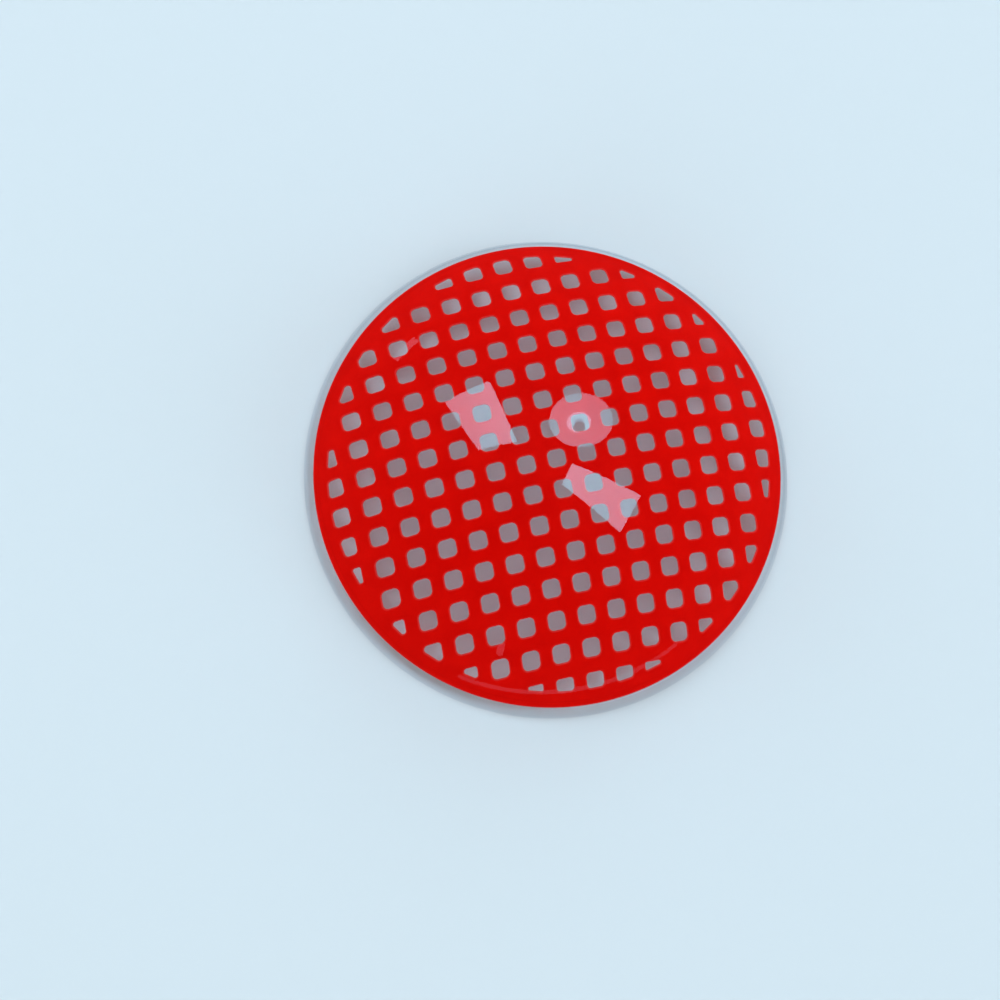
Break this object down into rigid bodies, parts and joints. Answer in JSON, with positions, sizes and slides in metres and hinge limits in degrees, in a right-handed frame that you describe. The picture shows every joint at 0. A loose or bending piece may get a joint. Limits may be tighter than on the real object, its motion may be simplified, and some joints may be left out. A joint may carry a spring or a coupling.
{
  "type": "costume contact lens",
  "caption": "Soft costume contact lens: a thin clear dome with a rounded, bevelled clear rim and a red square mesh printed on its front inside a solid red border.",
  "frame": {"origin": "centre of the circle that the rim rests on, on the axis of the lens", "axes": "+Z along the axis of the lens, out through the top of the dome; X and Y along the lines of the printed mesh"},
  "size_m": [0.0142, 0.0142, 0.0038],
  "materials": {
    "clear_hydrogel": "wet clear gel, smooth and glossy",
    "red_pigment": "opaque bright red print under a wet gloss"
  },
  "bodies": {
    "root": {"lens_body": "clear_hydrogel", "printed_mesh": "red_pigment"}
  },
  "joints": []
}
